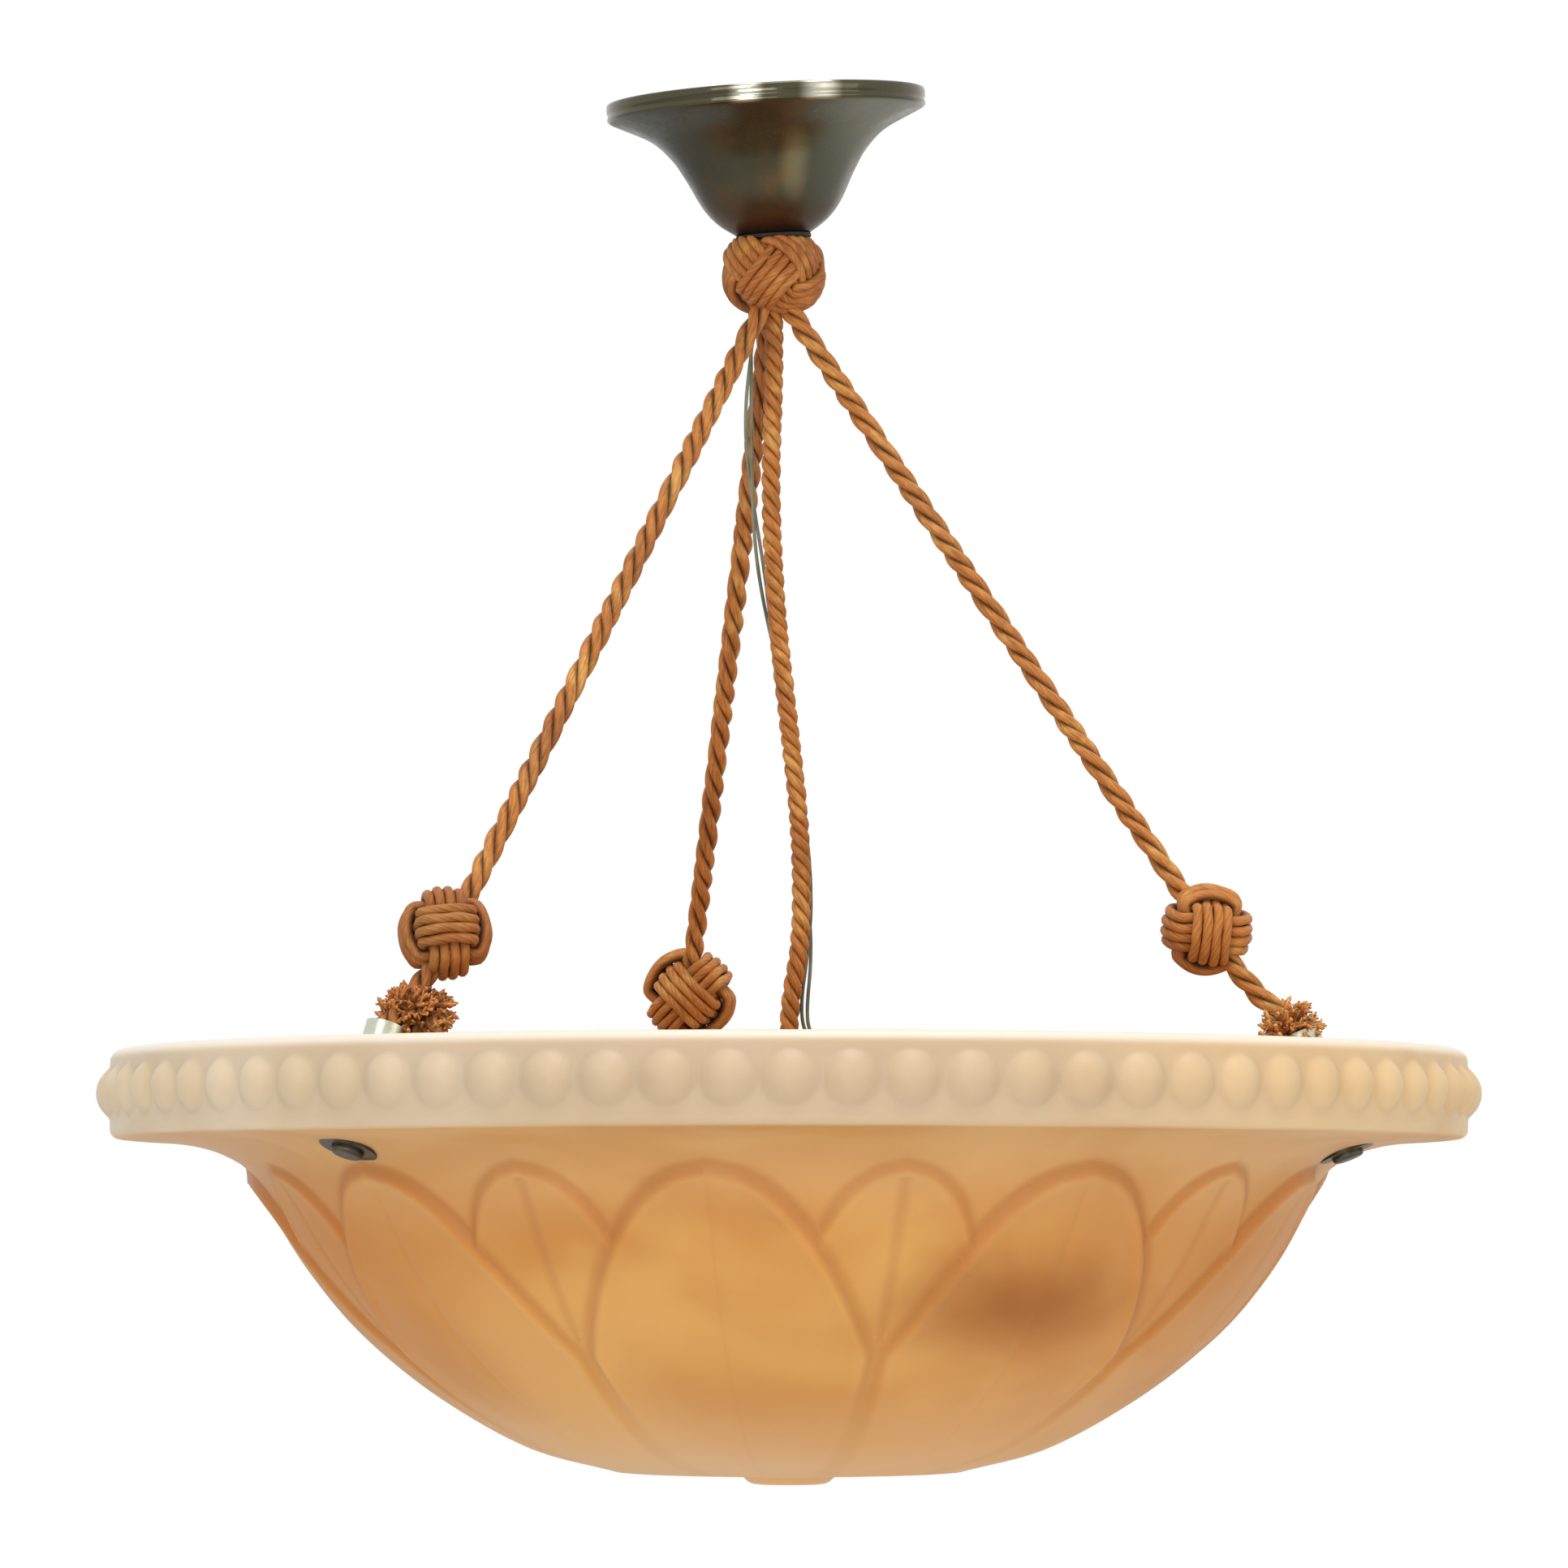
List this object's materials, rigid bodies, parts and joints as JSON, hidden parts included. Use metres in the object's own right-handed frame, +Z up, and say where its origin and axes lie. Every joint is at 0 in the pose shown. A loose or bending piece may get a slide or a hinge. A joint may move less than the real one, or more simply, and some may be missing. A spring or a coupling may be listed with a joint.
{
  "type": "glass pendant lamp",
  "caption": "Pendant lamp: a pressed amber glass bowl with a beaded rim and petal relief hangs on ropes from a knot under a small bell canopy.",
  "frame": {"origin": "centre of the hanging ring's bore, where the ceiling hook takes it", "axes": "+Z up; the pictured front faces -Y, so +X is to the right in the picture; the ring's bore runs along Y"},
  "size_m": [0.4, 0.4, 0.4086],
  "materials": {
    "amber_glass": "pressed satin glass, cloudy, warm amber",
    "clear_glass": "clear",
    "bulb_black_glass": "gloss",
    "rope": "laid rope, soft sheen",
    "flex": "satin",
    "bronze": "antique bronze, polished lip",
    "polished_steel": "polished",
    "zinc_steel": "zinc plated",
    "brass": "aged, satin",
    "dark_metal": "dark bronze",
    "rubber": "matt",
    "white_plastic": "satin",
    "dark_plastic": "satin",
    "ceramic": "glazed",
    "bulb_metal": "bright"
  },
  "bodies": {
    "ring": {"hanging_ring": "polished_steel"},
    "lamp": {"suspension_loop": "polished_steel", "rod_nut": "zinc_steel", "top_knot": "rope", "rope_left": "rope", "rope_right": "rope", "rope_back": "rope", "knot_left": "rope", "knot_right": "rope", "knot_back": "rope", "rope_tuft_left": "rope", "rope_tuft_right": "rope", "rope_tuft_back": "rope", "rope_socket_left": "brass", "rope_socket_right": "brass", "rope_socket_back": "brass", "hanger_bolt_left": "zinc_steel", "hanger_bolt_right": "zinc_steel", "hanger_bolt_back": "zinc_steel", "clamp_nuts": "zinc_steel", "inner_gaskets": "rubber", "outer_gaskets": "rubber", "outer_discs": "dark_metal", "glass_bowl": "amber_glass", "centre_rope": "rope", "lamp_flex": "flex", "flex_tail": "flex", "terminal_block": "white_plastic", "terminal_screws": "zinc_steel", "bridge": "brass", "holder_cap": "brass", "cord_grip": "brass", "flex_grommet": "white_plastic", "strain_knot": "flex", "holder_leads": "flex", "holder_nipple": "brass", "holder_shell": "brass", "holder_insert": "ceramic", "screw_sleeve": "brass", "centre_contact": "brass"},
    "bush": {"canopy_bush": "dark_plastic", "bush_lock_ring": "dark_plastic"},
    "canopy": {"canopy": "bronze"},
    "bulb_tip": {"bulb_tip_contact": "bulb_metal"},
    "bulb": {"bulb_glass": "clear_glass", "bulb_cap": "bulb_metal", "bulb_insulator": "bulb_black_glass", "bulb_stem": "clear_glass"}
  },
  "joints": [
    {"name": "lamp_swing", "type": "hinge", "parent": "ring", "child": "lamp", "pos_m": [0, 0, -0.01], "axis": [1, 0, 0], "range_deg": [-12, 12]},
    {"name": "canopy_slide", "type": "slide", "parent": "lamp", "child": "bush", "axis": [0, 0, 1], "range_m": [0, 0.008]},
    {"name": "canopy_turn", "type": "hinge", "parent": "bush", "child": "canopy", "pos_m": [0, 0, -0.0303], "axis": [-0.0576, -0.0766, 0.9954], "continuous": true},
    {"name": "bulb_travel", "type": "slide", "parent": "lamp", "child": "bulb_tip", "axis": [0, 0, -1], "range_m": [0, 0.01412]},
    {"name": "bulb_turn", "type": "hinge", "parent": "bulb_tip", "child": "bulb", "pos_m": [0.0045, 0, -0.29285], "axis": [0, 0, -1], "range_deg": [0, 1800]}
  ],
  "couplings": [
    {"joint": "bulb_travel", "follows": "bulb_turn", "m_per_rad": 0.00044914}
  ]
}
